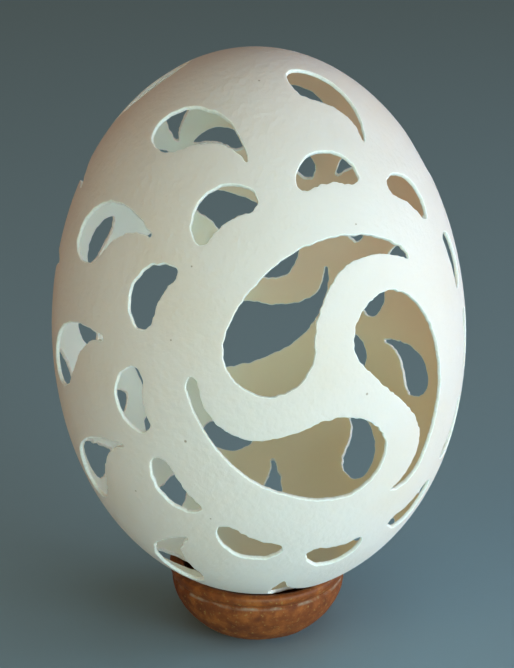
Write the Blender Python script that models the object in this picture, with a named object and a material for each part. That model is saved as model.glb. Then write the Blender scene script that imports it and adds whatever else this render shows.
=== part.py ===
"""A blown and pierced chicken egg resting on a small fired-clay stand.

Built in metres with +Z up and the front towards -Y. The origin is the middle of the stand's underside.
Each opening is drawn flat, in millimetres, at a place on the shell given by two angles seen from the
middle of the egg: turn goes round to the right from the front, and rise goes up from the widest level.
The drawing is then cut straight towards the middle of the egg.
"""

import math

import bmesh
import bpy
from mathutils import Vector

MM = 0.001

# Egg, in millimetres. The profile is an ellipse times 1 + POINTED * s + FULL * s * s along its length.
EGG_LENGTH = 59.6
EGG_WIDTH = 44.0
POINTED = -0.037
FULL = 0.033
SHELL_WALL = 0.4
EGG_LEAN_DEG = -1.7
EGG_OFF_CENTRE = 0.1
EGG_MIDDLE_HEIGHT = 35.25
EGG_COLUMNS = 36
EGG_ROWS = 20

# Stand, in millimetres from its underside
FOOT_RADIUS = 5.2
GROOVE_RADIUS = 9.45
GROOVE_HEIGHT = 6.3
BAND_RADIUS = 9.85
RIM_HEIGHT = 7.6
RIM_INNER_RADIUS = 9.4
STAND_SIDES = 40

# Every opening ends in a curve as wide as the tool that cut it
TOOL_WIDTH = 0.4
SMALL_POINTS = 14
LARGE_POINTS = 18

# turn, rise, heading of the middle from head to tail, length, width, bend, taper of the tail
SMALL_OPENINGS = (
    # Ring round the front whorl, from the top to the right
    (27.5, 54.5, 178, 7.4, 3.1, 120, 0.55),
    (60.5, 44, -49, 6.8, 2.8, -107, 0.6),
    (75.5, 23, -82, 6.4, 2.8, -90, 0.75),
    (81, -1, -90, 7.2, 3.1, -115, 0.6),
    (73, -25, -120, 7.2, 3.1, -110, 0.6),
    (55, -42, -150, 7.2, 3.1, -115, 0.6),
    (24.5, -48.5, 2, 6.8, 3.1, 139, 0.65),
    (-5.5, -42, -30, 7.6, 3.2, 109, 0.65),
    (-25.5, -25, -57, 7.4, 3.0, 87, 0.65),
    (-35.5, -1.5, -81, 7.2, 3.4, 135, 0.6),
    (-31, 27.5, 64, 7.8, 3.4, -121, 0.65),
    (-11.5, 47.5, -142, 7.9, 3.3, 130, 0.55),
    # Ring round the back whorl
    (192, 42.5, 16, 6.7, 2.4, -110, 0.75),
    (220, 35.5, -45, 6.6, 2.8, -110, 0.6),
    (237, 17, -51, 5.9, 3.3, -80, 0.5),
    (244.5, -5.5, -90, 8.3, 3.1, -128, 0.5),
    (239.5, -33, 193, 5.7, 3.5, -90, 0.65),
    (221, -47, 216, 6.9, 2.9, -110, 0.6),
    (192.5, -50.5, 180, 7.3, 3.5, -111, 0.6),
    (163, -43, 140, 5.6, 2.4, -100, 0.6),
    (148.5, -29.5, 118, 6.6, 3.6, -130, 0.7),
    (143, -6.5, 78, 6.7, 3.5, -119, 0.55),
    (149.5, 17, 62, 7.0, 3.05, -110, 0.6),
    (167, 35.5, 38, 7.6, 3.1, -114, 0.5),
    # Low on the left side
    (286, -67.5, 80, 7.5, 3.0, -90, 0.8),
)

LARGE_OPENINGS = (
    # Seen from the front
    (-21, 64.5, -7, 12.0, 4.8, -91, 1.6),
    (54.5, 68, -79, 10.6, 4.5, -95, 1.7),
    (-50, 40.5, 25, 11.9, 5.3, -86, 1.55),
    (-60.5, 7.5, 40, 13.0, 5.1, -76, 1.45),
    (-53.5, -22.5, 47, 13.0, 5.0, -84, 1.6),
    (-35, -49.5, 73, 11.4, 4.8, -114, 1.45),
    (10.5, -67.5, 118, 10.5, 4.6, -80, 1.5),
    (-93.5, 67, -80, 11.0, 4.6, -90, 1.5),
    # Back, each seen in part through a front opening
    (125.5, -24, 31, 9.2, 4.4, -73, 1.75),
    (138.5, -47.5, 59, 10.2, 4.3, -106, 1.8),
    (141.5, 36.5, -15, 9.9, 2.8, -76, 1.2),
    (168, 55.5, -2, 9.3, 4.6, -90, 1.3),
    (211.5, 55.5, -80, 12.9, 4.4, -84, 1.35),
    (261.5, -41, 195, 7.9, 4.4, 1, 1.15),
    (266.5, -12, 56, 12.0, 4.2, -70, 1.3),
    (232.5, -60.5, 163, 9.0, 3.4, -60, 0.95),
    (177, -66.5, 108, 9.4, 3.6, -60, 1.5),
    (125.5, 7.5, 130, 10.5, 5.0, -80, 1.5),
    (102, 18.5, 40, 12.0, 4.8, -85, 1.5),
    # Sides that the photo hides
    (268, 19, 45, 11.0, 4.6, -85, 1.5),
    (262, 44, 25, 12.0, 4.8, -85, 1.5),
    (105, 50, 20, 12.0, 4.8, -85, 1.5),
    (102, -10, 40, 11.0, 4.6, -85, 1.5),
    (91, -38, 45, 10.5, 4.6, -85, 1.5),
    (75, -60.5, 16, 10.0, 4.2, -85, 1.5),
    (109, -63, 30, 8.5, 3.8, -85, 1.5),
)

# Front whorl: three big openings drawn flat, each starting at the tip of its tail
FRONT_WHORL_TURN = 21
FRONT_WHORL_RISE = 6
UPPER_ARM = (
    (10.9, 12.1), (9.5, 13.2), (5.3, 14.5), (-0.5, 14.4), (-5.6, 12.5), (-9.8, 9.1), (-12.2, 4.9),
    (-11.4, 1.1), (-8.2, -1.1), (-4.6, -0.6), (-2.5, 1.9), (-2.1, 4.8), (-0.9, 7.9), (1.6, 10.9),
    (5.6, 12.1), (9.0, 11.8), (10.6, 11.4),
)
RIGHT_ARM = (
    (7.9, -17.2), (9.0, -17.7), (11.0, -17.6), (13.1, -16.2), (14.5, -13.0), (15.5, -9.0), (15.9, -4.4),
    (14.8, 0.4), (12.8, 4.2), (9.7, 7.0), (6.6, 7.9), (3.7, 6.7), (2.0, 4.3), (2.1, 1.6), (4.6, -1.4),
    (7.7, -4.3), (10.3, -7.3), (11.7, -10.6), (11.3, -13.5), (9.6, -15.9), (8.1, -16.8),
)
LOWER_ARM = (
    (-17.5, 1.4), (-18.1, -0.2), (-16.9, -3.7), (-14.2, -8.0), (-10.6, -11.5), (-6.3, -13.6), (-1.9, -14.9),
    (2.3, -14.8), (5.2, -12.1), (5.6, -8.4), (3.0, -5.3), (-0.9, -4.3), (-5.0, -5.5), (-9.2, -6.3),
    (-13.0, -5.1), (-15.4, -2.4), (-16.2, 0.8),
)

# Back whorl, named as seen from behind
BACK_WHORL_TURN = 197
BACK_WHORL_RISE = -7
BACK_LOWER_ARM = (
    (-17.3, 1.8), (-16.0, -1.3), (-13.2, -3.1), (-8.8, -3.4), (-4.7, -2.5), (0.5, -2.4), (3.9, -4.7),
    (4.4, -7.7), (2.3, -10.0), (-1.8, -10.5), (-6.1, -10.2), (-11.0, -8.8), (-15.2, -5.5), (-17.5, -1.2),
    (-17.8, 1.5),
)
BACK_RIGHT_ARM = (
    (6.7, -15.8), (8.3, -12.9), (8.6, -8.8), (6.4, -4.4), (3.4, -0.3), (1.6, 3.9), (2.2, 7.3), (4.6, 8.9),
    (7.5, 8.5), (9.9, 6.0), (11.4, 1.2), (12.1, -4.1), (11.1, -9.7), (9.0, -14.5), (7.2, -16.0),
)
BACK_LEFT_ARM = (
    (10.0, 13.8), (6.3, 13.0), (2.2, 11.1), (-1.5, 7.8), (-3.1, 3.9), (-5.8, 0.9), (-8.8, 0.2), (-11.0, 1.0),
    (-12.7, 4.3), (-11.1, 7.9), (-7.1, 11.2), (-1.9, 13.5), (3.3, 15.2), (8.1, 15.4), (10.0, 14.2),
)
STEPS_PER_SPAN = 2


def clear_scene():
    for item in list(bpy.data.objects):
        bpy.data.objects.remove(item, do_unlink=True)


def surface_material(name, colour, roughness):
    material = bpy.data.materials.new(name)
    material.use_nodes = True
    shader = material.node_tree.nodes["Principled BSDF"]
    shader.inputs["Base Color"].default_value = (*colour, 1.0)
    shader.inputs["Roughness"].default_value = roughness
    return material


def object_from(name, bm, material=None, smooth=False):
    bmesh.ops.recalc_face_normals(bm, faces=bm.faces)
    mesh = bpy.data.meshes.new(name)
    bm.to_mesh(mesh)
    bm.free()
    if smooth:
        mesh.shade_smooth()
    if material:
        mesh.materials.append(material)
    item = bpy.data.objects.new(name, mesh)
    bpy.context.scene.collection.objects.link(item)
    return item


def profile(s):
    return math.sqrt(max(0.0, 1 - s * s)) * (1 + POINTED * s + FULL * s * s)


WIDEST = max(profile(math.sin(math.radians(a / 4))) for a in range(-360, 361))


def egg_radius(z, inset=0.0):
    s = z / (EGG_LENGTH / 2 - inset)
    return (EGG_WIDTH / 2 - inset) * profile(max(-1.0, min(1.0, s))) / WIDEST


def egg_solid(inset):
    """The egg as one closed skin, set in from the outside by the wall."""
    bm = bmesh.new()
    half = EGG_LENGTH / 2 - inset
    rings = []
    for row in range(1, EGG_ROWS):
        z = half * math.sin(math.radians(-90 + 180 * row / EGG_ROWS))
        r = egg_radius(z, inset)
        ring = []
        for column in range(EGG_COLUMNS):
            a = 2 * math.pi * column / EGG_COLUMNS
            ring.append(bm.verts.new((r * math.sin(a) * MM, -r * math.cos(a) * MM, z * MM)))
        rings.append(ring)
    bottom = bm.verts.new((0, 0, -half * MM))
    top = bm.verts.new((0, 0, half * MM))
    for i in range(EGG_COLUMNS):
        j = (i + 1) % EGG_COLUMNS
        bm.faces.new((bottom, rings[0][i], rings[0][j]))
        bm.faces.new((top, rings[-1][j], rings[-1][i]))
        for low, high in zip(rings, rings[1:]):
            bm.faces.new((low[i], low[j], high[j], high[i]))
    return bm


def facing(turn, rise):
    """The direction out of the egg at a place, with the drawing's own right and up there."""
    t = math.radians(turn)
    e = math.radians(rise)
    out = Vector((math.sin(t) * math.cos(e), -math.cos(t) * math.cos(e), math.sin(e)))
    right = Vector((math.cos(t), math.sin(t), 0))
    return out, right, right.cross(out) * -1


def distance_out(direction):
    """How far the outside of the egg is from its middle along a direction."""
    low, high = 10.0, 40.0
    for _ in range(40):
        mid = (low + high) / 2
        p = direction * mid
        if abs(p.z) > EGG_LENGTH / 2 or math.hypot(p.x, p.y) > egg_radius(p.z):
            high = mid
        else:
            low = mid
    return low


def round_end(along):
    """Half the tool's mark at a distance from either end of a cut."""
    r = TOOL_WIDTH / 2
    return math.sqrt(max(0.0, r * r - max(0.0, r - along) ** 2))


def comma(heading, length, width, bend, taper, points):
    """A comma-shaped outline: a round head, a bent middle line and a narrowing tail."""
    half = points // 2
    peak = 0.5 / (0.5 + taper)
    most = math.sqrt(peak) * (1 - peak) ** taper
    turned = math.radians(bend)
    left, right = [], []
    for i in range(half + 1):
        t = (1 - math.cos(math.pi * i / half)) / 2
        w = math.sqrt(t) * (1 - t) ** taper / most * (width - TOOL_WIDTH) / 2
        w += round_end(length * min(t, 1 - t))
        a = turned * (t - 0.5)
        x = length / turned * math.sin(a)
        y = length / turned * (1 - math.cos(a))
        left.append((x - math.sin(a) * w, y + math.cos(a) * w))
        right.append((x + math.sin(a) * w, y - math.cos(a) * w))
    return rotated(left + right[-2:0:-1], heading)


def rotated(outline, degrees):
    c = math.cos(math.radians(degrees))
    s = math.sin(math.radians(degrees))
    return [(c * x - s * y, s * x + c * y) for x, y in outline]


def through_points(points):
    """A smooth closed curve through the points, with a corner at the first one."""
    p = [Vector(q) for q in points]
    p = [2 * p[0] - p[1]] + p + [p[0]] + [2 * p[0] - p[-1]]
    curve = []
    for a, b, c, d in zip(p, p[1:], p[2:], p[3:]):
        for step in range(STEPS_PER_SPAN):
            t = step / STEPS_PER_SPAN
            q = 2 * b + (c - a) * t + (2 * a - 5 * b + 4 * c - d) * t * t + (3 * b - a - 3 * c + d) * t ** 3
            curve.append((q.x / 2, q.y / 2))
    return curve


def add_cutter(bm, outline, turn, rise):
    """A block with the outline as its section that narrows towards the middle of the egg."""
    out, right, up = facing(turn, rise)
    reach = distance_out(out)
    near, far = [], []
    for x, y in outline:
        ray = out * reach + right * x + up * y
        near.append(bm.verts.new(ray * 0.74 * MM))
        far.append(bm.verts.new(ray * 1.25 * MM))
    faces = [bm.faces.new(near), bm.faces.new(far)]
    for i in range(len(outline)):
        j = (i + 1) % len(outline)
        faces.append(bm.faces.new((near[i], near[j], far[j], far[i])))
    bmesh.ops.triangulate(bm, faces=faces[:2])


def opening_cutters():
    bm = bmesh.new()
    for turn, rise, *shape in SMALL_OPENINGS:
        add_cutter(bm, comma(*shape, SMALL_POINTS), turn, rise)
    for turn, rise, *shape in LARGE_OPENINGS:
        add_cutter(bm, comma(*shape, LARGE_POINTS), turn, rise)
    for arm in (UPPER_ARM, RIGHT_ARM, LOWER_ARM):
        add_cutter(bm, through_points(arm), FRONT_WHORL_TURN, FRONT_WHORL_RISE)
    for arm in (BACK_LOWER_ARM, BACK_RIGHT_ARM, BACK_LEFT_ARM):
        add_cutter(bm, through_points(arm), BACK_WHORL_TURN, BACK_WHORL_RISE)
    return bm


def cut(item, cutter, name):
    cutter.hide_render = True
    cutter.display_type = "WIRE"
    step = item.modifiers.new(name, "BOOLEAN")
    step.operation = "DIFFERENCE"
    step.solver = "EXACT"
    step.object = cutter


def build_eggshell():
    calcite = surface_material("egg_shell_calcite", (0.83, 0.80, 0.72), 0.6)
    shell = object_from("eggshell", egg_solid(0.0), calcite, smooth=True)
    hollow = object_from("shell_hollow", egg_solid(SHELL_WALL))
    openings = object_from("shell_openings", opening_cutters())
    for item in (shell, hollow, openings):
        item.location = (EGG_OFF_CENTRE * MM, 0, EGG_MIDDLE_HEIGHT * MM)
        item.rotation_euler = (0, math.radians(EGG_LEAN_DEG), 0)
    cut(shell, hollow, "hollow")
    cut(shell, openings, "openings")


def stand_section():
    """Half of the stand's section as radius and height, from the middle of the underside outwards."""
    side = [(FOOT_RADIUS, 0), (6.74, 0.8), (8.0, 2.0), (9.05, 3.6), (9.55, 5.0), (9.6, 5.9)]
    groove = [(GROOVE_RADIUS, GROOVE_HEIGHT - 0.1), (GROOVE_RADIUS, GROOVE_HEIGHT + 0.1), (9.75, 6.6)]
    band = [(BAND_RADIUS, 6.9), (BAND_RADIUS, 7.25), (9.76, RIM_HEIGHT - 0.1), (9.6, RIM_HEIGHT)]
    rim = [(RIM_INNER_RADIUS, RIM_HEIGHT - 0.15), (9.15, RIM_HEIGHT - 0.55)]
    cup = [(8.3, 5.7), (6.9, 4.3), (4.9, 3.3), (2.6, 2.8)]
    return side + groove + band + rim + cup


def build_stand():
    clay = surface_material("fired_clay", (0.25, 0.085, 0.03), 0.55)
    bm = bmesh.new()
    rings = []
    for r, z in stand_section():
        ring = []
        for column in range(STAND_SIDES):
            a = 2 * math.pi * column / STAND_SIDES
            ring.append(bm.verts.new((r * math.cos(a) * MM, r * math.sin(a) * MM, z * MM)))
        rings.append(ring)
    under = bm.verts.new((0, 0, 0))
    cup_floor = bm.verts.new((0, 0, 2.5 * MM))
    for i in range(STAND_SIDES):
        j = (i + 1) % STAND_SIDES
        bm.faces.new((under, rings[0][j], rings[0][i]))
        bm.faces.new((cup_floor, rings[-1][i], rings[-1][j]))
        for low, high in zip(rings, rings[1:]):
            bm.faces.new((low[i], low[j], high[j], high[i]))
    object_from("stand", bm, clay, smooth=True)


clear_scene()
build_eggshell()
build_stand()
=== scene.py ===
import math

import bpy
from mathutils import Matrix, Vector, kdtree, noise
from mathutils.geometry import delaunay_2d_cdt


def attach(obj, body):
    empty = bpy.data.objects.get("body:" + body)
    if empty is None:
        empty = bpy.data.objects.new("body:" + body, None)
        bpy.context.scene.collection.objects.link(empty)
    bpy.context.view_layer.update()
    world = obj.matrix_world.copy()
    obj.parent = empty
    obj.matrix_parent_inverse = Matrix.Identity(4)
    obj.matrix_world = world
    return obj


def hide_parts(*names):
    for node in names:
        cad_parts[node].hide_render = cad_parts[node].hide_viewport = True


# A hen's egg, blown, pierced and carved, resting on a small fired-clay stand.
# Lengths are in millimetres until a mesh is made. The egg is worked out about its own middle, then placed.

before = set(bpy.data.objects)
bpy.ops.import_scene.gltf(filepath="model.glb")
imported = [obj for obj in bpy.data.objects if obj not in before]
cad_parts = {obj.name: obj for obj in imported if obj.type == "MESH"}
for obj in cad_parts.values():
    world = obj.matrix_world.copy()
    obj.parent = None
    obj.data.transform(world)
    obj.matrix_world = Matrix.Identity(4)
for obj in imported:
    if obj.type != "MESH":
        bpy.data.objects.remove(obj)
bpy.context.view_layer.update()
mm = 0.001
print("frame loaded:", sorted(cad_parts))


# Colours, nodes and meshes

def srgb(code):
    channels = [int(code[i:i + 2], 16) / 255 for i in (1, 3, 5)]
    return [c / 12.92 if c <= 0.04045 else ((c + 0.055) / 1.055) ** 2.4 for c in channels] + [1.0]


def perSize(size):
    # texture scale for a pattern whose grain is this many millimetres
    return 1 / (size * mm)


def addNode(tree, kind, inputs=(), stops=(), **settings):
    made = tree.nodes.new("ShaderNode" + kind)
    for name, value in settings.items():
        setattr(made, name, value)
    for name, value in dict(inputs).items():
        if isinstance(value, bpy.types.NodeSocket):
            tree.links.new(value, made.inputs[name])
        else:
            made.inputs[name].default_value = value
    for i, (place, colour) in enumerate(stops):
        ramp = made.color_ramp.elements
        stop = ramp[i] if i < 2 else ramp.new(place)
        stop.position = place
        stop.color = colour
    return made


def newMaterial(name):
    material = bpy.data.materials.new(name)
    material.use_nodes = True
    tree = material.node_tree
    spot = addNode(tree, "TexCoord").outputs["Object"]
    return material, tree, tree.nodes["Principled BSDF"], spot


def meshObject(name, points, faces, materials, faceMaterials, normals):
    mesh = bpy.data.meshes.new(name)
    mesh.from_pydata(points, [], faces)
    for material in materials:
        mesh.materials.append(material)
    mesh.polygons.foreach_set("material_index", faceMaterials)
    mesh.shade_smooth()
    mesh.update()
    if normals:
        mesh.normals_split_custom_set_from_vertices(normals)
    piece = bpy.data.objects.new(name, mesh)
    bpy.context.scene.collection.objects.link(piece)
    return piece


# The egg's form

egg = {
    "length": 59.6,
    "width": 44.0,
    "pointed": -0.037,       # moves the fullest part below the middle
    "full": 0.033,
    "wall": 0.4,
    "leanDegrees": -1.7,
    "offCentre": 0.1,
    "middleHeight": 35.25,
    "unevenness": 0.03,      # slow swells of a natural shell
    "unevennessWave": 9.0,
    "meshSpacing": 0.6,
    "rowShare": 0.87,        # rows of a staggered mesh stand closer than its points
    "rimShare": 0.55,        # of the spacing, kept free of points round each opening
    "edgeRounding": 0.11,    # cut edges softened by the file
    "edgeSteps": 3,
    "carvingWobble": 0.16,   # how far the hand-held tool strays
    "carvingWave": 0.75,
    "carvingApart": 7.3,     # keeps two openings from wavering alike
    "fineWaver": (2.3, 0.5),  # a second waver, so many times finer and so much weaker
    "toolWidth": 0.4,        # every opening ends in a curve as wide as the tool
    "commaPoints": 84,
    "armStepsPerSpan": 14,
}


def profile(s):
    return math.sqrt(max(0.0, 1 - s * s)) * (1 + egg["pointed"] * s + egg["full"] * s * s)


widest = max(profile(i / 400) for i in range(-400, 401))


def reachAlong(way, inset):
    # distance from the egg's middle to its skin, set in by the inset, along a direction
    half = egg["length"] / 2 - inset
    wide = (egg["width"] / 2 - inset) / widest
    across = way.x ** 2 + way.y ** 2
    reach = half
    for _ in range(7):
        s = way.z * reach / half
        full = wide * (1 + egg["pointed"] * s + egg["full"] * s * s)
        reach /= math.sqrt(across * (reach / full) ** 2 + s * s)
    return reach


def skinNormal(way, inset):
    half = egg["length"] / 2 - inset
    wide = (egg["width"] / 2 - inset) / widest
    p = way * reachAlong(way, inset)
    s = p.z / half
    full = wide * (1 + egg["pointed"] * s + egg["full"] * s * s)
    change = wide * (egg["pointed"] + 2 * egg["full"] * s)
    around = p.x ** 2 + p.y ** 2
    slope = 2 * s / half - 2 * around * change / full ** 3 / half
    return Vector((2 * p.x / full ** 2, 2 * p.y / full ** 2, slope)).normalized()


def wallPoint(way, depth):
    # a point in the shell's wall: depth 0 is outside, the wall's thickness is inside
    swell = egg["unevenness"] * noise.noise(way * (egg["length"] / 2 / egg["unevennessWave"]))
    outer = reachAlong(way, 0) + swell
    inner = reachAlong(way, egg["wall"]) + swell
    return way * (outer + (inner - outer) * depth / egg["wall"])


# The openings: turn and rise place each one, as on a globe; then heading, length, width, bend and taper

smallOpenings = (
    # ring round the front whorl
    (27.5, 54.5, 178, 7.4, 3.1, 120, 0.55),
    (60.5, 44, -49, 6.8, 2.8, -107, 0.6),
    (75.5, 23, -82, 6.4, 2.8, -90, 0.75),
    (81, -1, -90, 7.2, 3.1, -115, 0.6),
    (73, -25, -120, 7.2, 3.1, -110, 0.6),
    (55, -42, -150, 7.2, 3.1, -115, 0.6),
    (24.5, -48.5, 2, 6.8, 3.1, 139, 0.65),
    (-5.5, -42, -30, 7.6, 3.2, 109, 0.65),
    (-25.5, -25, -57, 7.4, 3.0, 87, 0.65),
    (-35.5, -1.5, -81, 7.2, 3.4, 135, 0.6),
    (-31, 27.5, 64, 7.8, 3.4, -121, 0.65),
    (-11.5, 47.5, -142, 7.9, 3.3, 130, 0.55),
    # ring round the back whorl
    (192, 42.5, 16, 6.7, 2.4, -110, 0.75),
    (220, 35.5, -45, 6.6, 2.8, -110, 0.6),
    (237, 17, -51, 5.9, 3.3, -80, 0.5),
    (244.5, -5.5, -90, 8.3, 3.1, -128, 0.5),
    (239.5, -33, 193, 5.7, 3.5, -90, 0.65),
    (221, -47, 216, 6.9, 2.9, -110, 0.6),
    (192.5, -50.5, 180, 7.3, 3.5, -111, 0.6),
    (163, -43, 140, 5.6, 2.4, -100, 0.6),
    (148.5, -29.5, 118, 6.6, 3.6, -130, 0.7),
    (143, -6.5, 78, 6.7, 3.5, -119, 0.55),
    (149.5, 17, 62, 7.0, 3.05, -110, 0.6),
    (167, 35.5, 38, 7.6, 3.1, -114, 0.5),
    # low on the left side
    (286, -67.5, 80, 7.5, 3.0, -90, 0.8),
)

largeOpenings = (
    # seen from the front
    (-21, 64.5, -7, 12.0, 4.8, -91, 1.6),
    (54.5, 68, -79, 10.6, 4.5, -95, 1.7),
    (-50, 40.5, 25, 11.9, 5.3, -86, 1.55),
    (-60.5, 7.5, 40, 13.0, 5.1, -76, 1.45),
    (-53.5, -22.5, 47, 13.0, 5.0, -84, 1.6),
    (-35, -49.5, 73, 11.4, 4.8, -114, 1.45),
    (10.5, -67.5, 118, 10.5, 4.6, -80, 1.5),
    (-93.5, 67, -80, 11.0, 4.6, -90, 1.5),
    # back, each seen in part through a front opening
    (125.5, -24, 31, 9.2, 4.4, -73, 1.75),
    (138.5, -47.5, 59, 10.2, 4.3, -106, 1.8),
    (141.5, 36.5, -15, 9.9, 2.8, -76, 1.2),
    (168, 55.5, -2, 9.3, 4.6, -90, 1.3),
    (211.5, 55.5, -80, 12.9, 4.4, -84, 1.35),
    (261.5, -41, 195, 7.9, 4.4, 1, 1.15),
    (266.5, -12, 56, 12.0, 4.2, -70, 1.3),
    (232.5, -60.5, 163, 9.0, 3.4, -60, 0.95),
    (177, -66.5, 108, 9.4, 3.6, -60, 1.5),
    (125.5, 7.5, 130, 10.5, 5.0, -80, 1.5),
    (102, 18.5, 40, 12.0, 4.8, -85, 1.5),
    # sides that the photo hides
    (268, 19, 45, 11.0, 4.6, -85, 1.5),
    (262, 44, 25, 12.0, 4.8, -85, 1.5),
    (105, 50, 20, 12.0, 4.8, -85, 1.5),
    (102, -10, 40, 11.0, 4.6, -85, 1.5),
    (91, -38, 45, 10.5, 4.6, -85, 1.5),
    (75, -60.5, 16, 10.0, 4.2, -85, 1.5),
    (109, -63, 30, 8.5, 3.8, -85, 1.5),
)

# Whorl arms drawn flat, each from the tip of its tail; the back ones are named as seen from behind
frontWhorl = {
    "turn": 21,
    "rise": 6,
    "arms": {
        "upper": (
            (10.9, 12.1), (9.5, 13.2), (5.3, 14.5), (-0.5, 14.4), (-5.6, 12.5), (-9.8, 9.1), (-12.2, 4.9),
            (-11.4, 1.1), (-8.2, -1.1), (-4.6, -0.6), (-2.5, 1.9), (-2.1, 4.8), (-0.9, 7.9), (1.6, 10.9),
            (5.6, 12.1), (9.0, 11.8), (10.6, 11.4),
        ),
        "right": (
            (7.9, -17.2), (9.0, -17.7), (11.0, -17.6), (13.1, -16.2), (14.5, -13.0), (15.5, -9.0),
            (15.9, -4.4), (14.8, 0.4), (12.8, 4.2), (9.7, 7.0), (6.6, 7.9), (3.7, 6.7), (2.0, 4.3),
            (2.1, 1.6), (4.6, -1.4), (7.7, -4.3), (10.3, -7.3), (11.7, -10.6), (11.3, -13.5), (9.6, -15.9),
            (8.1, -16.8),
        ),
        "lower": (
            (-17.5, 1.4), (-18.1, -0.2), (-16.9, -3.7), (-14.2, -8.0), (-10.6, -11.5), (-6.3, -13.6),
            (-1.9, -14.9), (2.3, -14.8), (5.2, -12.1), (5.6, -8.4), (3.0, -5.3), (-0.9, -4.3),
            (-5.0, -5.5), (-9.2, -6.3), (-13.0, -5.1), (-15.4, -2.4), (-16.2, 0.8),
        ),
    },
}
backWhorl = {
    "turn": 197,
    "rise": -7,
    "arms": {
        "lower": (
            (-17.3, 1.8), (-16.0, -1.3), (-13.2, -3.1), (-8.8, -3.4), (-4.7, -2.5), (0.5, -2.4),
            (3.9, -4.7), (4.4, -7.7), (2.3, -10.0), (-1.8, -10.5), (-6.1, -10.2), (-11.0, -8.8),
            (-15.2, -5.5), (-17.5, -1.2), (-17.8, 1.5),
        ),
        "right": (
            (6.7, -15.8), (8.3, -12.9), (8.6, -8.8), (6.4, -4.4), (3.4, -0.3), (1.6, 3.9), (2.2, 7.3),
            (4.6, 8.9), (7.5, 8.5), (9.9, 6.0), (11.4, 1.2), (12.1, -4.1), (11.1, -9.7), (9.0, -14.5),
            (7.2, -16.0),
        ),
        "left": (
            (10.0, 13.8), (6.3, 13.0), (2.2, 11.1), (-1.5, 7.8), (-3.1, 3.9), (-5.8, 0.9), (-8.8, 0.2),
            (-11.0, 1.0), (-12.7, 4.3), (-11.1, 7.9), (-7.1, 11.2), (-1.9, 13.5), (3.3, 15.2), (8.1, 15.4),
            (10.0, 14.2),
        ),
    },
}


def rotated(outline, degrees):
    c = math.cos(math.radians(degrees))
    s = math.sin(math.radians(degrees))
    return [(c * x - s * y, s * x + c * y) for x, y in outline]


def roundEnd(along):
    # half the tool's mark at a distance from either end of a cut
    r = egg["toolWidth"] / 2
    return math.sqrt(max(0.0, r * r - max(0.0, r - along) ** 2))


def commaOutline(heading, length, width, bend, taper):
    # a round head, a bent middle line and a narrowing tail
    half = egg["commaPoints"] // 2
    peak = 0.5 / (0.5 + taper)
    most = math.sqrt(peak) * (1 - peak) ** taper
    turned = math.radians(bend)
    left, right = [], []
    for i in range(half + 1):
        t = (1 - math.cos(math.pi * i / half)) / 2
        w = math.sqrt(t) * (1 - t) ** taper / most * (width - egg["toolWidth"]) / 2
        w += roundEnd(length * min(t, 1 - t))
        a = turned * (t - 0.5)
        x = length / turned * math.sin(a)
        y = length / turned * (1 - math.cos(a))
        left.append((x - math.sin(a) * w, y + math.cos(a) * w))
        right.append((x + math.sin(a) * w, y - math.cos(a) * w))
    return rotated(left + right[-2:0:-1], heading)


def curveThrough(points, steps):
    # a smooth curve from the second point to the last but one
    curve = []
    for a, b, c, d in zip(points, points[1:], points[2:], points[3:]):
        for step in range(steps):
            t = step / steps
            q = 2 * b + (c - a) * t + (2 * a - 5 * b + 4 * c - d) * t * t + (3 * b - a - 3 * c + d) * t ** 3
            curve.append(q / 2)
    return curve


def armOutline(points):
    # a smooth closed line through the points, with a corner at the first one
    p = [Vector(q) for q in points]
    p = [2 * p[0] - p[1]] + p + [p[0]] + [2 * p[0] - p[-1]]
    return [(q.x, q.y) for q in curveThrough(p, egg["armStepsPerSpan"])]


def outlineNormals(outline):
    # in the drawing's plane, pointing away from the opening into the shell
    area = sum(a[0] * b[1] - b[0] * a[1] for a, b in zip(outline, outline[1:] + outline[:1]))
    side = 1 if area > 0 else -1
    normals = []
    for before, after in zip(outline[-1:] + outline[:-1], outline[1:] + outline[:1]):
        along = Vector((after[0] - before[0], after[1] - before[1])).normalized()
        normals.append(Vector((along.y, -along.x)) * side)
    return normals


def carvedOutline(outline, number):
    # the drawn line as the tool left it: slightly wavering, the same way each time
    finer, weaker = egg["fineWaver"]
    carved = []
    for (x, y), away in zip(outline, outlineNormals(outline)):
        place = Vector((x, y, egg["carvingApart"] * number)) / egg["carvingWave"]
        stray = egg["carvingWobble"] * (noise.noise(place) + weaker * noise.noise(place * finer))
        carved.append((x + away.x * stray, y + away.y * stray))
    return carved


def wayFrom(turn, rise):
    t = math.radians(turn)
    e = math.radians(rise)
    return Vector((math.sin(t) * math.cos(e), -math.cos(t) * math.cos(e), math.sin(e)))


def makeOpening(outline, turn, rise, number):
    out = wayFrom(turn, rise)
    right = Vector((math.cos(math.radians(turn)), math.sin(math.radians(turn)), 0))
    carved = carvedOutline(outline, number)
    return {
        "outline": carved,
        "away": outlineNormals(carved),
        "middle": out * reachAlong(out, 0),
        "right": right,
        "up": out.cross(right),
    }


def wayTo(opening, x, y):
    return (opening["middle"] + opening["right"] * x + opening["up"] * y).normalized()


def allOpenings():
    drawn = [(commaOutline(*shape), turn, rise) for turn, rise, *shape in smallOpenings + largeOpenings]
    for whorl in (frontWhorl, backWhorl):
        for arm in whorl["arms"].values():
            drawn.append((armOutline(arm), whorl["turn"], whorl["rise"]))
    return [makeOpening(*item, number) for number, item in enumerate(drawn)]


# The shell's mesh

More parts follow.
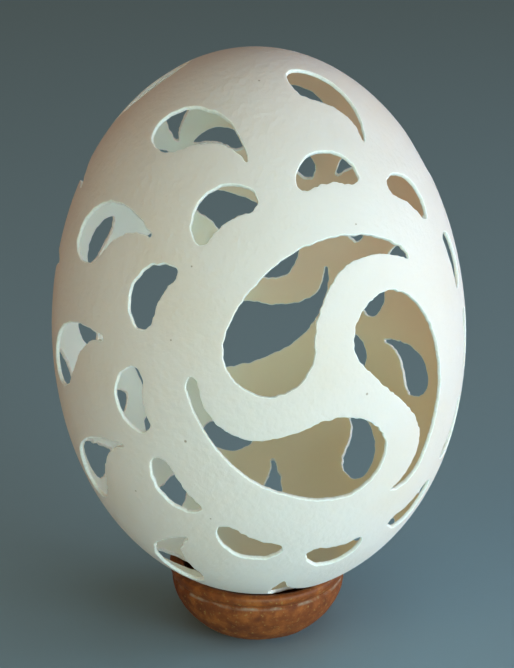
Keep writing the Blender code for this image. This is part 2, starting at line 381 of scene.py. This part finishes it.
def spreadWays(spacing):
    # directions whose points lie about evenly on the shell, in staggered rows
    steps = 2000
    rows = []
    travelled, wanted = 0.0, 0.0
    last = None
    for i in range(steps + 1):
        z = egg["length"] / 2 * math.sin(math.pi * (i / steps - 0.5))
        r = egg["width"] / 2 * profile(2 * z / egg["length"]) / widest
        if last:
            travelled += math.hypot(r - last[0], z - last[1])
        last = (r, z)
        if travelled >= wanted:
            rows.append((r, z))
            wanted += spacing * egg["rowShare"]
    ways = []
    for row, (r, z) in enumerate(rows):
        count = max(1, round(2 * math.pi * r / spacing))
        for i in range(count):
            a = 2 * math.pi * (i + row % 2 / 2) / count
            ways.append(Vector((r * math.cos(a), r * math.sin(a), z)).normalized())
    return ways


def flattened(way, pole):
    # stereographic: the whole shell but one point lies flat, and circles stay circles
    east = pole.orthogonal().normalized()
    north = pole.cross(east)
    return Vector((way.dot(east), way.dot(north))) / (1 - way.dot(pole))


def rimLoops(opening):
    # rings of points from the outside skin, round both edges of the cut wall, to the inside skin
    rounding = egg["edgeRounding"]
    wall = egg["wall"]
    quarter = [math.pi / 2 * i / egg["edgeSteps"] for i in range(egg["edgeSteps"] + 1)]
    rings = []
    for outerSide in (True, False):
        for a in quarter if outerSide else reversed(quarter):
            points, normals = [], []
            back = rounding * (1 - math.sin(a))
            depth = rounding * (1 - math.cos(a))
            for (x, y), away in zip(opening["outline"], opening["away"]):
                way = wayTo(opening, x + away.x * back, y + away.y * back)
                inward = -(opening["right"] * away.x + opening["up"] * away.y)
                face = skinNormal(way, 0) if outerSide else -skinNormal(way, wall)
                inward = (inward - face * inward.dot(face)).normalized()
                points.append(wallPoint(way, depth if outerSide else wall - depth))
                normals.append((face * math.cos(a) + inward * math.sin(a)).normalized())
            rings.append((points, normals))
    return rings


def shellTriangles(openings, ways):
    # one flat triangulation of the skin round every opening; the inside skin uses it too
    poleOpening = openings[-1]
    middle = sum((Vector(p) for p in poleOpening["outline"]), Vector((0, 0))) / len(poleOpening["outline"])
    pole = wayTo(poleOpening, middle.x, middle.y)
    rounding = egg["edgeRounding"]
    flat, holes = [], []
    for opening in openings:
        start = len(flat)
        for (x, y), away in zip(opening["outline"], opening["away"]):
            flat.append(flattened(wayTo(opening, x + away.x * rounding, y + away.y * rounding), pole))
        hole = list(range(start, len(flat)))
        area = sum(flat[a].cross(flat[b]) for a, b in zip(hole, hole[1:] + hole[:1]))
        holes.append(hole if area > 0 else hole[::-1])
    flat += [flattened(way, pole) for way in ways]
    found = delaunay_2d_cdt(flat, [], holes, 0, 1e-7, True)
    triangles, origins, owners = found[2], found[3], found[5]
    outerHole = len(holes) - 1
    return [[origins[i][0] for i in triangle] for triangle, owner in zip(triangles, owners)
            if owner == [outerHole]]


def shellPlace():
    # the egg leans a little in its stand
    lean = Matrix.Rotation(math.radians(egg["leanDegrees"]), 4, "Y")
    return Matrix.Translation((egg["offCentre"], 0, egg["middleHeight"])) @ lean


def buildShell(openings, materials):
    rims = [rimLoops(opening) for opening in openings]
    rimCount = sum(len(rings[0][0]) for rings in rims)
    rimTree = kdtree.KDTree(rimCount)
    for i, point in enumerate(p for rings in rims for p in rings[0][0]):
        rimTree.insert(point, i)
    rimTree.balance()
    ways = [way for way in spreadWays(egg["meshSpacing"])
            if rimTree.find(wallPoint(way, 0))[2] > egg["rimShare"] * egg["meshSpacing"]]
    triangles = shellTriangles(openings, ways)

    points, normals = [], []
    outside, inside = [], []       # from a flat triangulation's point to the two skins' points
    faces, kinds = [], []
    skin, cut, lining = range(3)
    for rings in rims:
        count = len(rings[0][0])
        start = len(points)
        for ringPoints, ringNormals in rings:
            points += ringPoints
            normals += ringNormals
        outside += range(start, start + count)
        inside += range(len(points) - count, len(points))
        middleRing = start + egg["edgeSteps"] * count
        along = points[middleRing + 1] - points[middleRing]
        through = points[middleRing + count] - points[middleRing]
        facingOpening = along.cross(through).dot(normals[middleRing]) > 0
        for ring in range(len(rings) - 1):
            a = start + ring * count
            for i in range(count):
                j = (i + 1) % count
                quad = (a + i, a + j, a + count + j, a + count + i)
                faces.append(quad if facingOpening else quad[::-1])
                kinds.append(cut)
    used = {i for triangle in triangles for i in triangle if i >= rimCount}
    outsideOf = dict(enumerate(outside))
    insideOf = dict(enumerate(inside))
    for i in sorted(used):
        way = ways[i - rimCount]
        outsideOf[i] = len(points)
        points.append(wallPoint(way, 0))
        normals.append(skinNormal(way, 0))
        insideOf[i] = len(points)
        points.append(wallPoint(way, egg["wall"]))
        normals.append(-skinNormal(way, egg["wall"]))
    for triangle in triangles:
        a, b, c = (outsideOf[i] for i in triangle)
        outward = (points[b] - points[a]).cross(points[c] - points[a]).dot(points[a]) > 0
        order = triangle if outward else triangle[::-1]
        faces.append([outsideOf[i] for i in order])
        kinds.append(skin)
        faces.append([insideOf[i] for i in reversed(order)])
        kinds.append(lining)
    place = shellPlace()
    turnOnly = place.to_3x3()
    points = [place @ p * mm for p in points]
    normals = [turnOnly @ n for n in normals]
    return meshObject("piercedEggshell", points, faces, materials, kinds, normals)


# The shell's finishes

shellFinish = {
    "base": "#E6DDDA",          # the off-white of a pale hen's egg
    "warmCloud": "#E5D9D1",
    "coolCloud": "#E7E0DE",
    "cloudSize": 16.0,
    "grainSize": 0.7,           # the orange-peel unevenness of the shell
    "grainDepth": 0.11,
    "grainStrength": 0.8,
    "roughness": 0.55,
    "specular": 0.4,
    "speckColour": "#8C7358",
    "speckStrength": 0.65,
    "speckFade": (0.25, 0.6),        # from and to, in a speck's diameters
    "cutWhite": "#FBFBF6",
    "cutShade": "#EFEEE6",
    "cutRoughness": 0.9,
    "cutSpecular": 0.25,
    "chipSize": 0.35,
    "chipDepth": 0.05,
    "chipStrength": 0.5,
    # the lining's colours are painted light: tan and olive for its shaded right, pale mint for its lit left
    "liningShadedTan": "#FAD6C2",
    "liningShadedOlive": "#F5E2CA",
    "liningLitPale": "#EEFFF2",
    "shadedToLit": (2.0, -13.0),       # along X
    "oliveToTan": (22.0, 38.0),      # along Z
    # noise patches shift the edge between the painted shade and the painted light
    "patchSize": 9.0,
    "patchDrift": 2.5,               # how far a patch moves the edge of the tan
    "fibreSize": 0.5,
    "fibreDepth": 0.03,
    "fibreStrength": 0.2,
    "liningRoughness": 0.7,
    "glow": 1.0,
    "glowRadius": (1.0, 0.9, 0.8),
    "glowDepth": 0.65,
}

# Pigment specks seen in the photo, as turn, rise and diameter
shellSpecks = (
    (-19.3, -10.1, 0.32),
    (28.6, 0.0, 0.30),
    (-14.8, -32.6, 0.22),
    (7.3, 76.4, 0.25),
    (-17.9, 34.4, 0.20),
    (32.4, 41.3, 0.20),
    (-22.7, 16.5, 0.20),
    (-37.9, -28.4, 0.22),
)


def letLightThrough(shader):
    # thin calcite glows a little: light that enters by one face leaves by the others
    shader.inputs["Subsurface Weight"].default_value = shellFinish["glow"]
    shader.inputs["Subsurface Radius"].default_value = shellFinish["glowRadius"]
    shader.inputs["Subsurface Scale"].default_value = shellFinish["glowDepth"] * mm


def speckedColour(tree, spot, plain):
    # a round spot of pigment at each place, soft at its edge
    fadeFrom, fadeTo = shellFinish["speckFade"]
    pigment = srgb(shellFinish["speckColour"])
    colour = plain
    for turn, rise, diameter in shellSpecks:
        place = shellPlace() @ wallPoint(wayFrom(turn, rise), 0) * mm
        away = addNode(tree, "VectorMath", {0: spot, 1: place}, operation="DISTANCE")
        mask = addNode(tree, "MapRange", {
            "Value": away.outputs["Value"], "From Min": fadeFrom * diameter * mm,
            "From Max": fadeTo * diameter * mm, "To Min": shellFinish["speckStrength"], "To Max": 0.0,
        }, interpolation_type="SMOOTHSTEP")
        mixed = addNode(tree, "Mix", {0: mask.outputs["Result"], 6: colour, 7: pigment}, data_type="RGBA")
        colour = mixed.outputs[2]
    return colour


def mattEggshell():
    # hen's eggshell, washed: calcite with a matt waxy skin, so a wide soft sheen
    # and faint clouds of pigment
    material, tree, shader, spot = newMaterial("mattHenEggshell")
    cloud = addNode(tree, "TexNoise", {
        "Vector": spot, "Scale": perSize(shellFinish["cloudSize"]), "Detail": 3.0,
    })
    tint = addNode(tree, "ValToRGB", {"Fac": cloud.outputs["Fac"]}, (
        (0.3, srgb(shellFinish["warmCloud"])),
        (0.5, srgb(shellFinish["base"])),
        (0.72, srgb(shellFinish["coolCloud"])),
    ))
    grain = addNode(tree, "TexNoise", {
        "Vector": spot, "Scale": perSize(shellFinish["grainSize"]), "Detail": 4.0,
    })
    bump = addNode(tree, "Bump", {
        "Height": grain.outputs["Fac"], "Strength": shellFinish["grainStrength"],
        "Distance": shellFinish["grainDepth"] * mm,
    })
    tree.links.new(speckedColour(tree, spot, tint.outputs["Color"]), shader.inputs["Base Color"])
    tree.links.new(bump.outputs["Normal"], shader.inputs["Normal"])
    shader.inputs["Roughness"].default_value = shellFinish["roughness"]
    shader.inputs["IOR"].default_value = 1.5
    shader.inputs["Specular IOR Level"].default_value = shellFinish["specular"]
    letLightThrough(shader)
    return material


def chalkyCut():
    # freshly cut calcite: white, powdery and fully matt
    material, tree, shader, spot = newMaterial("chalkyCutCalcite")
    chips = addNode(tree, "TexNoise", {
        "Vector": spot, "Scale": perSize(shellFinish["chipSize"]), "Detail": 4.0,
    })
    tone = addNode(tree, "ValToRGB", {"Fac": chips.outputs["Fac"]}, (
        (0.3, srgb(shellFinish["cutShade"])), (0.6, srgb(shellFinish["cutWhite"]))))
    bump = addNode(tree, "Bump", {
        "Height": chips.outputs["Fac"], "Strength": shellFinish["chipStrength"],
        "Distance": shellFinish["chipDepth"] * mm,
    })
    tree.links.new(tone.outputs["Color"], shader.inputs["Base Color"])
    tree.links.new(bump.outputs["Normal"], shader.inputs["Normal"])
    shader.inputs["Roughness"].default_value = shellFinish["cutRoughness"]
    shader.inputs["Specular IOR Level"].default_value = shellFinish["cutSpecular"]
    letLightThrough(shader)
    return material


def liningMembrane():
    # the dried inner membrane, papery; its colour is painted shade and light: tan where the inside lies in
    # shade on the right, olive lower down, and nearly white with a mint tint on the left where light comes
    # in through the openings
    material, tree, shader, spot = newMaterial("driedShellMembrane")
    patches = addNode(tree, "TexNoise", {
        "Vector": spot, "Scale": perSize(shellFinish["patchSize"]), "Detail": 2.0,
    })
    drift = addNode(tree, "MapRange", {
        "Value": patches.outputs["Fac"], "From Min": 0.3, "From Max": 0.7,
        "To Min": -shellFinish["patchDrift"] * mm, "To Max": shellFinish["patchDrift"] * mm,
    })
    side = addNode(tree, "SeparateXYZ", {"Vector": spot})
    across = addNode(tree, "Math", {0: side.outputs["X"], 1: drift.outputs["Result"]}, operation="ADD")
    # painted shade and light: from shaded tan on the right to lit pale on the left, along X
    shadeStart, litEnd = shellFinish["shadedToLit"]
    paintedLight = addNode(tree, "MapRange", {
        "Value": across.outputs[0], "From Min": shadeStart * mm, "From Max": litEnd * mm,
    }, interpolation_type="SMOOTHSTEP")
    oliveEnd, tanEnd = shellFinish["oliveToTan"]
    upper = addNode(tree, "MapRange", {
        "Value": side.outputs["Z"], "From Min": oliveEnd * mm, "From Max": tanEnd * mm,
    }, interpolation_type="SMOOTHSTEP")
    # the painted shaded side's tone: olive lower down, tan higher up
    shadedTone = addNode(tree, "Mix", {
        0: upper.outputs["Result"], 6: srgb(shellFinish["liningShadedOlive"]), 7: srgb(shellFinish["liningShadedTan"]),
    }, data_type="RGBA")
    tone = addNode(tree, "Mix", {
        0: paintedLight.outputs["Result"], 6: shadedTone.outputs[2], 7: srgb(shellFinish["liningLitPale"]),
    }, data_type="RGBA")
    fibres = addNode(tree, "TexNoise", {
        "Vector": spot, "Scale": perSize(shellFinish["fibreSize"]), "Detail": 4.0,
    })
    bump = addNode(tree, "Bump", {
        "Height": fibres.outputs["Fac"], "Strength": shellFinish["fibreStrength"],
        "Distance": shellFinish["fibreDepth"] * mm,
    })
    tree.links.new(tone.outputs[2], shader.inputs["Base Color"])
    tree.links.new(bump.outputs["Normal"], shader.inputs["Normal"])
    shader.inputs["Roughness"].default_value = shellFinish["liningRoughness"]
    letLightThrough(shader)
    return material


# The stand

stand = {
    "footRadius": 5.2,
    "footBevel": 0.15,
    "columns": 224,
    "stepsPerSpan": 5,
    "grainSize": 0.7,
    "grainHeight": 0.03,
    "fineGrain": (2.1, 0.5),  # so many times finer and so much weaker
    "lumpSize": 3.0,
    "lumpHeight": 0.05,
    "smoothFoot": 0.1,       # height up to which the turned foot has no grain
    "grainRise": 0.8,        # and the height over which the grain sets in
    "bandStart": 6.55,
    "bandGrain": 0.35,       # how much of the grain is left on the rubbed band
    "side": ((5.2, 0.12), (6.74, 0.8), (8.0, 2.0), (9.05, 3.6), (9.55, 5.0), (9.6, 5.9)),
    "groove": ((9.47, 6.16), (9.45, 6.3), (9.5, 6.44), (9.72, 6.6)),
    "band": ((9.82, 6.8), (9.85, 7.0), (9.85, 7.2), (9.8, 7.42), (9.7, 7.56), (9.58, 7.6)),
    "rim": ((9.3, 7.56), (9.02, 7.44), (8.84, 7.2), (8.76, 6.9)),
    "cup": ((8.3, 5.7), (6.9, 4.3), (4.9, 3.3), (2.6, 2.8), (0.6, 2.52)),
    "lipRadius": 9.6,        # within this radius the lip sets in, over its width
    "lipWidth": 0.5,
    "lipFoot": 6.6,          # and above this height, over its own height
    "lipHeight": 0.8,
    "lipShift": 0.5,         # the lip's opening is off centre, towards where the egg leans
    "shiftFade": 8.0,        # within this radius the shift fades towards the cup's middle
    "lipGap": 0.12,          # the lip is pressed up to the egg in front
    "lipTurn": (0.3, 1.6),   # full in front, fading out at the sides, later on the right
}


def openCurve(points, steps):
    p = [Vector(q) for q in points]
    p = [2 * p[0] - p[1]] + p + [2 * p[-1] - p[-2]]
    return curveThrough(p, steps) + [p[-2]]


def standSection():
    # radius and height, from the middle of the foot up the outside and down into the cup
    outside = stand["side"] + stand["groove"] + stand["band"] + stand["rim"] + stand["cup"]
    foot = [Vector((stand["footRadius"] * i / 6, 0)) for i in range(1, 6)]
    foot.append(Vector((stand["footRadius"] - stand["footBevel"], 0)))
    return foot + openCurve(outside, stand["stepsPerSpan"])


def shareOf(value, whole):
    return min(1.0, max(0.0, value / whole))


def clayPush(p, away, a):
    # how far grain and lumps move the turned surface out, at an angle round the stand
    onOutside = away.x > -0.2 and p.x > 5
    rough = shareOf(p.y - stand["smoothFoot"], stand["grainRise"]) if onOutside else 0.0
    inBand = stand["bandGrain"] if p.y > stand["bandStart"] else 1.0
    place = Vector((p.x * math.cos(a), p.x * math.sin(a), p.y))
    finer, weaker = stand["fineGrain"]
    fine = noise.noise(place * finer / stand["grainSize"])
    grain = noise.noise(place / stand["grainSize"]) + weaker * fine
    lump = noise.noise(place / stand["lumpSize"])
    return rough * inBand * (stand["grainHeight"] * grain + stand["lumpHeight"] * lump)


def againstEgg(point, share):
    # moves a point of the lip towards the shell, leaving the lip's gap
    local = shellPlace().inverted() @ point
    spare = local.length - reachAlong(local.normalized(), 0) - stand["lipGap"]
    return point - shellPlace().to_3x3() @ local.normalized() * max(0.0, spare) * share


def buildStand(material):
    section = standSection()
    points, faces = [], []
    columns = stand["columns"]
    onRight, inFront = stand["lipTurn"]
    rimStart = len(section) - 1 - stand["stepsPerSpan"] * (len(stand["rim"]) + len(stand["cup"]))
    for k, p in enumerate(section):
        before, after = section[max(0, k - 1)], section[min(len(section) - 1, k + 1)]
        away = Vector((after.y - before.y, before.x - after.x)).normalized()
        intoLip = shareOf(stand["lipRadius"] - p.x, stand["lipWidth"]) if k > rimStart else 0.0
        shift = stand["lipShift"] * min(intoLip, p.x / stand["shiftFade"])
        onLip = min(intoLip, max(0.0, (p.y - stand["lipFoot"]) / stand["lipHeight"]))
        for i in range(columns):
            a = 2 * math.pi * i / columns
            push = clayPush(p, away, a)
            r = p.x + away.x * push
            point = Vector((r * math.cos(a) + shift, r * math.sin(a), p.y + away.y * push))
            share = onLip * shareOf(onRight * math.cos(a) - inFront * math.sin(a), 1)
            points.append((againstEgg(point, share) if share > 0 else point) * mm)
    for k in range(len(section) - 1):
        for i in range(columns):
            j = (i + 1) % columns
            faces.append((k * columns + i, k * columns + j, (k + 1) * columns + j, (k + 1) * columns + i))
    under, cupFloor = len(points), len(points) + 1
    points += [Vector((0, 0, 0)), Vector((0, 0, section[-1].y * mm))]
    last = (len(section) - 1) * columns
    for i in range(columns):
        j = (i + 1) % columns
        faces.append((under, j, i))
        faces.append((cupFloor, last + i, last + j))
    return meshObject("clayStand", points, faces, [material], [0] * len(faces), None)


clayFinish = {
    "body": "#7A3F1B",
    "dark": "#643218",
    "orange": "#955425",
    "speck": "#96703F",
    "wornLine": "#9C8A7A",
    "blotchSize": 1.5,
    "grainSize": 0.35,
    "grainDepth": 0.06,
    "grainStrength": 0.5,
    "specksFrom": (0.6, 0.72),       # of the grain's noise: none below, full above
    "lineHeight": 6.12,
    "lineWidth": 0.22,
    "lineStrength": 0.9,
    "lineBreakSize": 1.6,
    "lineBreaks": (0.42, 0.62),      # of the breaks' noise: no line below, full above
    "rubbedFrom": (6.3, 6.7),        # heights between which the rubbing sets in
    "roughness": 0.75,
    "rubbedRoughness": 0.45,
    "specular": 0.3,
}


def firedClay():
    # earthenware, unglazed, its rim rubbed smooth while leather-hard:
    # a sandy body with specks, and a low sheen on the rim
    material, tree, shader, spot = newMaterial("unglazedEarthenware")
    blotch = addNode(tree, "TexNoise", {
        "Vector": spot, "Scale": perSize(clayFinish["blotchSize"]), "Detail": 6.0, "Roughness": 0.65,
    })
    body = addNode(tree, "ValToRGB", {"Fac": blotch.outputs["Fac"]}, (
        (0.34, srgb(clayFinish["dark"])),
        (0.5, srgb(clayFinish["body"])),
        (0.66, srgb(clayFinish["orange"])),
    ))
    grain = addNode(tree, "TexNoise", {
        "Vector": spot, "Scale": perSize(clayFinish["grainSize"]), "Detail": 4.0,
    })
    noSpeck, fullSpeck = clayFinish["specksFrom"]
    speckMask = addNode(tree, "ValToRGB", {"Fac": grain.outputs["Fac"]}, (
        (noSpeck, (0, 0, 0, 1)), (fullSpeck, (1, 1, 1, 1))))
    speckled = addNode(tree, "Mix", {
        0: speckMask.outputs["Color"], 6: body.outputs["Color"], 7: srgb(clayFinish["speck"]),
    }, data_type="RGBA")
    height = addNode(tree, "SeparateXYZ", {"Vector": spot})
    offLine = addNode(tree, "Math", {0: height.outputs["Z"], 1: clayFinish["lineHeight"] * mm},
                      operation="SUBTRACT")
    distance = addNode(tree, "Math", {0: offLine.outputs[0]}, operation="ABSOLUTE")
    line = addNode(tree, "MapRange", {
        "Value": distance.outputs[0], "From Min": 0.0, "From Max": clayFinish["lineWidth"] * mm,
        "To Min": 1.0, "To Max": 0.0,
    })
    broken = addNode(tree, "TexNoise", {
        "Vector": spot, "Scale": perSize(clayFinish["lineBreakSize"]), "Detail": 3.0,
    })
    noLine, fullLine = clayFinish["lineBreaks"]
    patches = addNode(tree, "MapRange", {
        "Value": broken.outputs["Fac"], "From Min": noLine, "From Max": fullLine,
        "To Min": 0.0, "To Max": clayFinish["lineStrength"],
    })
    worn = addNode(tree, "Math", {0: line.outputs["Result"], 1: patches.outputs["Result"]},
                   operation="MULTIPLY")
    coloured = addNode(tree, "Mix", {
        0: worn.outputs[0], 6: speckled.outputs[2], 7: srgb(clayFinish["wornLine"]),
    }, data_type="RGBA")
    rubbedStart, rubbedEnd = clayFinish["rubbedFrom"]
    rubbed = addNode(tree, "MapRange", {
        "Value": height.outputs["Z"], "From Min": rubbedStart * mm, "From Max": rubbedEnd * mm,
        "To Min": clayFinish["roughness"], "To Max": clayFinish["rubbedRoughness"],
    })
    bump = addNode(tree, "Bump", {
        "Height": grain.outputs["Fac"], "Strength": clayFinish["grainStrength"],
        "Distance": clayFinish["grainDepth"] * mm,
    })
    tree.links.new(coloured.outputs[2], shader.inputs["Base Color"])
    tree.links.new(rubbed.outputs["Result"], shader.inputs["Roughness"])
    shader.inputs["Specular IOR Level"].default_value = clayFinish["specular"]
    tree.links.new(bump.outputs["Normal"], shader.inputs["Normal"])
    return material


openings = allOpenings()
print("openings drawn:", len(openings))
shell = buildShell(openings, [mattEggshell(), chalkyCut(), liningMembrane()])
print("shell meshed:", len(shell.data.vertices), "points", len(shell.data.polygons), "faces")
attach(shell, "root")
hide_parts("eggshell")
clay = buildStand(firedClay())
print("stand turned:", len(clay.data.polygons), "faces")
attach(clay, "root")
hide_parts("stand")


# Floor, light and camera

studio = {
    "floorColour": "#A0CBE2",
    "floorRoughness": 0.8,
    "floorSize": 3000.0,
    "worldColour": "#E6CDB0",
    "worldStrength": 0.16,
    # place, aim height, size, power and colour
    "lamps": {
        "windowRight": ((330, -240, 40), 34, 260, 0.85, "#F0FAFF"),
        "sideRight": ((400, -20, 60), 34, 260, 0.57, "#EEF6FF"),
        "frontRight": ((160, -380, 30), 34, 260, 0.82, "#EAFFFC"),
        "frontLow": ((0, -420, 12), 34, 260, 0.95, "#C6FFEC"),
        "lowRight": ((280, -300, 8), 30, 200, 0.16, "#E2FFF4"),
        "fillLeft": ((-380, -220, 120), 34, 260, 0.27, "#FFC084"),
        "softTop": ((20, 20, 460), 34, 260, 0.1, "#F4FFFF"),
    },
    "offTheFloor": ("frontRight", "frontLow", "lowRight"),
}


def buildStudio(pieces):
    half = studio["floorSize"] / 2 * mm
    corners = [(-half, -half, 0), (half, -half, 0), (half, half, 0), (-half, half, 0)]
    mesh = bpy.data.meshes.new("paleFloor")
    mesh.from_pydata(corners, [], [(0, 1, 2, 3)])
    floor = bpy.data.objects.new("paleFloor", mesh)
    bpy.context.scene.collection.objects.link(floor)
    paint = bpy.data.materials.new("paleFloorPaint")
    paint.use_nodes = True
    shader = paint.node_tree.nodes["Principled BSDF"]
    shader.inputs["Base Color"].default_value = srgb(studio["floorColour"])
    shader.inputs["Roughness"].default_value = studio["floorRoughness"]
    mesh.materials.append(paint)
    world = bpy.data.worlds.new("softRoom")
    world.use_nodes = True
    room = world.node_tree.nodes["Background"]
    room.inputs["Color"].default_value = srgb(studio["worldColour"])
    room.inputs["Strength"].default_value = studio["worldStrength"]
    bpy.context.scene.world = world
    # lamps that stand nearly on the floor light the pieces only, or they would burn a white patch on it
    piecesOnly = bpy.data.collections.new("litByLowLamps")
    for piece in pieces:
        piecesOnly.objects.link(piece)
    for name, (place, aim, size, power, colour) in studio["lamps"].items():
        light = bpy.data.lights.new(name, "AREA")
        light.shape = "DISK"
        light.size = size * mm
        light.energy = power
        light.color = srgb(colour)[:3]
        lamp = bpy.data.objects.new(name, light)
        lamp.location = Vector(place) * mm
        lamp.rotation_euler = (Vector((0, 0, aim)) - Vector(place)).to_track_quat("-Z", "Y").to_euler()
        bpy.context.scene.collection.objects.link(lamp)
        if name in studio["offTheFloor"]:
            lamp.light_linking.receiver_collection = piecesOnly


photoView = {
    "place": (0.1, -186.67, 107.03),
    "downDegrees": 21.29,
    "leftDegrees": 0.056,
    "lens": 100.93,
    "sensor": 36.0,          # along the frame's height
    "nearest": 10,
}


def buildCamera():
    data = bpy.data.cameras.new("photoCamera")
    data.lens = photoView["lens"]
    data.sensor_width = photoView["sensor"]
    data.clip_start = photoView["nearest"] * mm
    camera = bpy.data.objects.new("photoCamera", data)
    camera.location = Vector(photoView["place"]) * mm
    tilt = math.radians(90 - photoView["downDegrees"])
    camera.rotation_euler = (tilt, 0, math.radians(photoView["leftDegrees"]))
    bpy.context.scene.collection.objects.link(camera)
    bpy.context.scene.camera = camera


buildStudio([shell, clay])
buildCamera()
bpy.context.scene.view_settings.view_transform = "Standard"
print("studio ready")
